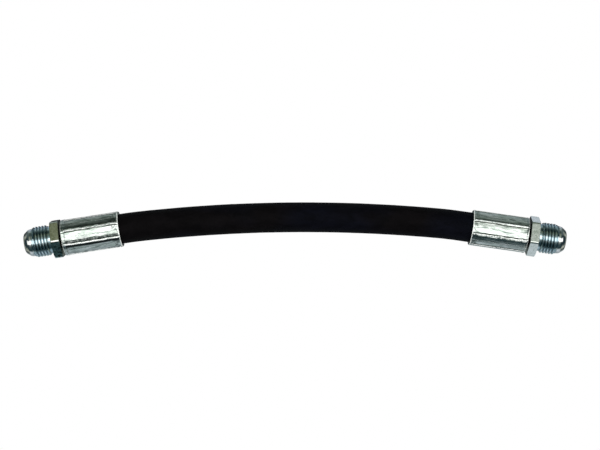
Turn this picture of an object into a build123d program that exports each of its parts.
from build123d import *
import os
from math import atan2, cos, degrees, radians, sin, sqrt, tan

# Hydraulic hose assembly: a one-wire-braid hose with a crimped male 37-degree flare
# fitting on each end.  Millimetres, +Z up.  It lies flat in the XY plane along X, bowed
# towards +Y, with the origin at the middle of its bounding box.
#
# Each fitting is drawn along its own +X, from its tip inwards.  The hose is a chain of
# short links that meet ball-in-socket, each link in the same three layers.

# --- overall layout ---------------------------------------------------------
CHORD = 253.43           # tip to tip along X, before the small levelling turn
END_ANGLE = 8.52         # tilt of each fitting to the chord, degrees

# --- stem: x from the tip, radii about the axis -----------------------------
SEAT_TIP_R = 4.50        # cone at the tip
SEAT_R = 6.35            # cone ends on a plain shoulder
CONE_LEN = 2.45
SHOULDER_END = 4.00

THREAD_START = 5.40      # end of the lead-in chamfer
THREAD_END = 11.25       # limit for whole thread rings
THREAD_R = 7.125
THREAD_ROOT_R = 6.26
PITCH = 25.4 / 18
CREST = PITCH * 0.24     # axial length of a crest
FLANK = PITCH * 0.30     # axial length of a flank
ROOT = PITCH - CREST - 2 * FLANK
RELIEF_R = 6.42
RELIEF_RAMP = 1.0        # axial length from the last crest down to the relief

HEX_START = 13.25
HEX_AF = 16.95           # across flats
HEX_LEN = 4.05
HEX_END = HEX_START + HEX_LEN
HEX_R = HEX_AF / 2 / cos(radians(30))
HEX_CHAMFER_R = 9.10     # face circle left by the corner chamfer
HEX_CHAMFER_ANGLE = 30
# corner angle round the fitting axis, from +Y towards +Z
HEX_TURN = {"left": 36.5, "right": 48.3}

NECK_R = 5.00
NECK_END = 18.20         # the ferrule starts here
NECK_OVERLAP = 0.25      # the locking groove starts this far before the ferrule
GROOVE_R = 4.70          # locking groove that takes the ferrule flange
GROOVE_END = 20.45
COLLAR_R = 5.40
COLLAR_END = 21.65

TAIL_END = 43.15         # hose tail (insert)
TAIL_R = 3.12
TAIL_TAPER_LEN = 0.8
TAIL_TAPER_DROP = 0.5
BARB_R = 3.36
BARB_FIRST = 1.6         # first barb, from the collar
BARB_STEP = 3.4
BARB_RISE = 0.25         # axial length of a barb's steep side
BARB_LEN = 2.6
BARB_END_MARGIN = 1.2

BORE_R = 3.50            # oil passage in the nose
BORE_DEPTH = 11.85
BORE_CHAMFER = 0.35
DRILL_HALF_ANGLE = 59
TAIL_BORE_R = 2.20       # oil passage through the tail

# --- ferrule: x from the tip ------------------------------------------------
FER_END = {"left": 45.40, "right": 44.60}
FER_COLLAR_END = 19.85
FER_COLLAR_R = 8.38
FER_COLLAR_CHAMFER = 0.35
FER_RAMP = 0.5           # axial length of the ramp at each end of the crimped zone
FER_FACET_R = 8.27       # flat left by each crimping die
FER_RIDGE_R = 8.60       # ridge left between two dies
FER_RIM_START = 43.15
FER_RIM_R = 8.32
FER_RIM_CHAMFER = 0.25
FER_BORE_R = 6.64
FER_MOUTH_R = 7.22
FER_MOUTH_LEN = 1.6
FLANGE_CLEARANCE = 0.05  # radial, round the locking groove
FLANGE_GAP = 0.15        # axial, before the end of the groove

TOOTH_R = 6.60
TOOTH_FIRST = 4.6        # tooth nearest the mouth, from the ferrule end
TOOTH_STEP = 3.6
TOOTH_HALF = 0.9         # half the axial length of a tooth
TOOTH_CLEAR = 3.0        # no tooth within this distance of the hose end

DIES = 8
DIE_DEPTH = 4.0          # radial depth of a die's cutting block
DIE_SHORTFALL = 0.9      # the block is this much shorter than the crimped zone
DIE_WIDTH_RATIO = 0.82   # block width as a share of a full octagon side
RIDGE_TURN = {"left": 70.0, "right": 61.0}   # ridge angle, stated like HEX_TURN

# --- hose -------------------------------------------------------------------
HOSE_START = 22.05       # cut end of the hose inside the ferrule
SKIN = 0.03              # clearance between two layers
TUBE_OUT = 4.90
BRAID_OUT = 5.55
COVER_OUT = 7.05
LAYERS = {               # (inner, outer) radius free, then under the crimp
    "inner_tube": ((3.20, TUBE_OUT), (3.40, 4.76)),
    "wire_braid": ((TUBE_OUT + SKIN, BRAID_OUT), (4.79, 5.42)),
    "cover": ((BRAID_OUT + SKIN, COVER_OUT), (5.45, 6.56)),
}
SWELL = 0.04             # shortfall in a layer's outer radius where it leaves the ferrule
SQUEEZE_INSIDE = 1.9     # the squeeze begins this far inside the ferrule end
SQUEEZE_OUTSIDE = 0.9    # and has opened out this far beyond it

LINKS = 17
BALL_R = 8.0             # ball end of a link, centred on its pivot
BALL_GAP = 0.10          # the socket round the ball is larger by this
FIRST_PIVOT = 51.40      # from the left tip
LAST_PIVOT = 55.40       # from the right tip
TURN_SHARES = [2.75] + [0.796] * (LINKS - 3) + [3.07]   # share of the bend at each pivot


# --- centre line ------------------------------------------------------------
def direction(heading):
    """Unit vector in the XY plane at an angle from +X, in degrees."""
    return Vector(cos(radians(heading)), sin(radians(heading)))


def chain():
    """Left tip, every pivot and right tip, with the heading of each link, chord level."""
    headings = [END_ANGLE]
    for share in TURN_SHARES:
        headings.append(headings[-1] - share * 2 * END_ANGLE / sum(TURN_SHARES))

    # the equal length of the inner links fills what the two end links leave of the chord
    first, *inner, last = [direction(heading) for heading in headings]
    remaining = CHORD - FIRST_PIVOT * first.X - LAST_PIVOT * last.X
    link_len = remaining / sum(step.X for step in inner)

    nodes = [Vector(0, 0), first * FIRST_PIVOT]
    for step in inner:
        nodes.append(nodes[-1] + step * link_len)
    nodes.append(nodes[-1] + last * LAST_PIVOT)

    skew = degrees(atan2(nodes[-1].Y, nodes[-1].X))
    nodes = [node.rotate(Axis.Z, -skew) for node in nodes]
    return nodes, [heading - skew for heading in headings], link_len


def fitting_frame(side, nodes, headings):
    """Tip and inward heading of one fitting."""
    if side == "left":
        return nodes[0], headings[0]
    return nodes[-1], 180 + headings[-1]


def lowest_y(side, nodes, headings):
    """Lowest Y reached by one fitting's nose, thread, hexagon or ferrule collar."""
    tip, heading = fitting_frame(side, nodes, headings)
    inward = direction(heading)
    hex_reach = HEX_R * max(cos(radians(HEX_TURN[side] + 60 * k)) for k in range(6))
    rings = [(0, SEAT_TIP_R), (CONE_LEN, SEAT_R), (THREAD_START, THREAD_R),
             (HEX_START, hex_reach), (HEX_END, hex_reach), (NECK_END, FER_COLLAR_R)]
    return min(tip.Y + inward.Y * x - abs(inward.X) * radius for x, radius in rings)


def box_centre(nodes, headings):
    """Middle of the box: nose faces at the ends, hose crown on top, a fitting below."""
    x_min = nodes[0].X - abs(direction(headings[0]).Y) * SEAT_TIP_R
    x_max = nodes[-1].X + abs(direction(headings[-1]).Y) * SEAT_TIP_R
    y_min = min(lowest_y(side, nodes, headings) for side in ("left", "right"))
    y_max = max(node.Y for node in nodes) + COVER_OUT
    return Vector((x_min + x_max) / 2, (y_min + y_max) / 2)


# --- helpers ----------------------------------------------------------------
def export_placed(shape, name, at, heading):
    """Move a shape drawn along +X to a point and heading in XY, and write it."""
    export_step(Pos(at.X, at.Y, 0) * Rot(0, 0, heading) * shape, f"parts/{name}.step")


def turned(points):
    """Solid of revolution about the X axis from (x, radius) points."""
    wire = Polyline(*[(x, radius, 0) for x, radius in points], close=True)
    return revolve(make_face(wire), axis=Axis.X, revolution_arc=360)


# --- stems ------------------------------------------------------------------
def stem_outline():
    """(x, radius) points of the stem, with a plain disc where the hexagon will be."""
    disc_r = HEX_R + 0.3
    outline = [(0, BORE_R + BORE_CHAMFER), (0, SEAT_TIP_R), (CONE_LEN, SEAT_R),
               (SHOULDER_END, SEAT_R), (THREAD_START, THREAD_R)]

    # the thread is a row of separate rings, not a helix
    x = THREAD_START
    while x + PITCH <= THREAD_END:
        outline += [(x + CREST, THREAD_R),
                    (x + CREST + FLANK, THREAD_ROOT_R),
                    (x + CREST + FLANK + ROOT, THREAD_ROOT_R),
                    (x + PITCH, THREAD_R)]
        x += PITCH

    groove_start = NECK_END - NECK_OVERLAP
    outline += [(x + CREST, THREAD_R), (x + CREST + RELIEF_RAMP, RELIEF_R),
                (HEX_START, RELIEF_R), (HEX_START, disc_r),
                (HEX_END, disc_r), (HEX_END, NECK_R),
                (groove_start, NECK_R), (groove_start, GROOVE_R),
                (GROOVE_END, GROOVE_R), (GROOVE_END, COLLAR_R),
                (COLLAR_END, COLLAR_R), (COLLAR_END, TAIL_R)]

    x = COLLAR_END + BARB_FIRST
    while x + BARB_STEP < TAIL_END - BARB_END_MARGIN:
        outline += [(x, TAIL_R), (x + BARB_RISE, BARB_R), (x + BARB_LEN, TAIL_R)]
        x += BARB_STEP
    outline += [(TAIL_END - TAIL_TAPER_LEN, TAIL_R), (TAIL_END, TAIL_R - TAIL_TAPER_DROP)]

    # back to the nose along the oil passage
    drill_point = (BORE_R - TAIL_BORE_R) / tan(radians(DRILL_HALF_ANGLE))
    outline += [(TAIL_END, TAIL_BORE_R), (BORE_DEPTH + drill_point, TAIL_BORE_R),
                (BORE_DEPTH, BORE_R), (BORE_CHAMFER, BORE_R)]
    return outline


def make_stem(hex_turn):
    body = turned(stem_outline())

    # hexagon with the corners chamfered on both faces
    blank = Pos(HEX_START - 0.01, 0, 0) * Rot(0, 90, 0) * extrude(
        RegularPolygon(HEX_R, 6, major_radius=True), HEX_LEN + 0.02)
    blank = Rot(hex_turn + 90, 0, 0) * blank
    rim_r = HEX_R + 0.5
    depth = (rim_r - HEX_CHAMFER_R) * tan(radians(HEX_CHAMFER_ANGLE))
    chamfer = turned([(HEX_START, 0), (HEX_START, HEX_CHAMFER_R), (HEX_START + depth, rim_r),
                      (HEX_END - depth, rim_r), (HEX_END, HEX_CHAMFER_R), (HEX_END, 0)])

    # everything before and behind the hexagon is kept whole
    clear_r = 30
    before = turned([(-1, 0), (-1, clear_r), (HEX_START, clear_r), (HEX_START, 0)])
    behind = turned([(HEX_END, 0), (HEX_END, clear_r),
                     (TAIL_END + 1, clear_r), (TAIL_END + 1, 0)])
    keep = (blank & chamfer) + (before + behind)
    return body & keep


# --- ferrules ---------------------------------------------------------------
def make_ferrule(end, ridge_turn):
    flange_r = GROOVE_R + FLANGE_CLEARANCE
    flange_end = GROOVE_END - FLANGE_GAP
    outline = [(NECK_END, flange_r), (NECK_END, FER_COLLAR_R - FER_COLLAR_CHAMFER),
               (NECK_END + FER_COLLAR_CHAMFER, FER_COLLAR_R),
               (FER_COLLAR_END, FER_COLLAR_R), (FER_COLLAR_END + FER_RAMP, FER_RIDGE_R),
               (FER_RIM_START - FER_RAMP, FER_RIDGE_R), (FER_RIM_START, FER_RIM_R),
               (end - FER_RIM_CHAMFER, FER_RIM_R), (end, FER_RIM_R - FER_RIM_CHAMFER),
               (end, FER_MOUTH_R), (end - FER_MOUTH_LEN, FER_BORE_R)]
    x = end - TOOTH_FIRST
    while x > HOSE_START + TOOTH_CLEAR:
        outline += [(x + TOOTH_HALF, FER_BORE_R), (x, TOOTH_R), (x - TOOTH_HALF, FER_BORE_R)]
        x -= TOOTH_STEP
    outline += [(flange_end, FER_BORE_R), (flange_end, flange_r)]
    body = turned(outline)

    # one flat per die, midway between two ridges
    half_angle = 180 / DIES
    block = Pos((FER_COLLAR_END + FER_RIM_START) / 2, FER_FACET_R + DIE_DEPTH / 2, 0) * Box(
        FER_RIM_START - FER_COLLAR_END - DIE_SHORTFALL,
        DIE_DEPTH,
        2 * FER_FACET_R * tan(radians(half_angle)) * DIE_WIDTH_RATIO)
    return body - [Rot(ridge_turn + half_angle + k * 360 / DIES, 0, 0) * block
                   for k in range(DIES)]


# --- hose links -------------------------------------------------------------
# An end face is a list of (x, radius) points from the inner radius to the outer:
# two points for a flat cut, three for an arc.
def ball_face(pivot_x, ball_r, radii):
    """End face on a ball round the pivot."""
    r_in, r_out = radii
    return [(pivot_x + sqrt(ball_r**2 - radius**2), radius)
            for radius in (r_in, (r_in + r_out) / 2, r_out)]


def flat_face(x, radii):
    return [(x, radius) for radius in radii]


def face_edge(points):
    if len(points) == 2:
        Line(*points)
    else:
        ThreePointArc(*points)


def sleeve(start, end, stations=()):
    """Tube between two end faces, through (x, inner radius, outer radius) stations."""
    outer = [start[-1]] + [(x, r_out) for x, _, r_out in stations] + [end[-1]]
    inner = [start[0]] + [(x, r_in) for x, r_in, _ in stations] + [end[0]]
    with BuildPart() as part:
        with BuildSketch(Plane.XY):
            with BuildLine():
                face_edge(start)
                Polyline(*outer)
                face_edge(end[::-1])
                Polyline(*inner[::-1])
            make_face()
        revolve(axis=Axis.X, revolution_arc=360)
    return part.part


def squeeze(side, free, crimped):
    """Stations of the ramp at the ferrule mouth, x from the fitting's tip."""
    end = FER_END[side]
    return [(end - SQUEEZE_INSIDE, *crimped),
            (end + SQUEEZE_OUTSIDE, free[0], free[1] - SWELL)]


def make_link(number, link_len, free, crimped):
    """One link of a layer; x = 0 is the left tip for link 1, else the pivot behind it."""
    if number == 1:
        return sleeve(flat_face(HOSE_START, crimped), ball_face(FIRST_PIVOT, BALL_R, free),
                      squeeze("left", free, crimped))
    socket = ball_face(0, BALL_R + BALL_GAP, free)
    if number == LINKS:
        ramp = [(LAST_PIVOT - x, r_in, r_out)
                for x, r_in, r_out in reversed(squeeze("right", free, crimped))]
        return sleeve(socket, flat_face(LAST_PIVOT - HOSE_START, crimped), ramp)
    return sleeve(socket, ball_face(link_len, BALL_R, free))


# --- build ------------------------------------------------------------------
os.makedirs("parts", exist_ok=True)

nodes, headings, link_len = chain()
centre = box_centre(nodes, headings)
nodes = [node - centre for node in nodes]

for side in ("left", "right"):
    hex_turn, ridge_turn = HEX_TURN[side], RIDGE_TURN[side]
    if side == "right":
        # this fitting is turned end for end about Z, which reverses its local Y
        hex_turn, ridge_turn = 180 - hex_turn, 180 - ridge_turn
    tip, heading = fitting_frame(side, nodes, headings)
    export_placed(make_stem(hex_turn), f"{side}_stem", tip, heading)
    export_placed(make_ferrule(FER_END[side], ridge_turn), f"{side}_ferrule", tip, heading)

for name, (free, crimped) in LAYERS.items():
    for number in range(1, LINKS + 1):
        link = make_link(number, link_len, free, crimped)
        export_placed(link, f"{name}_{number:02d}", nodes[number - 1], headings[number - 1])
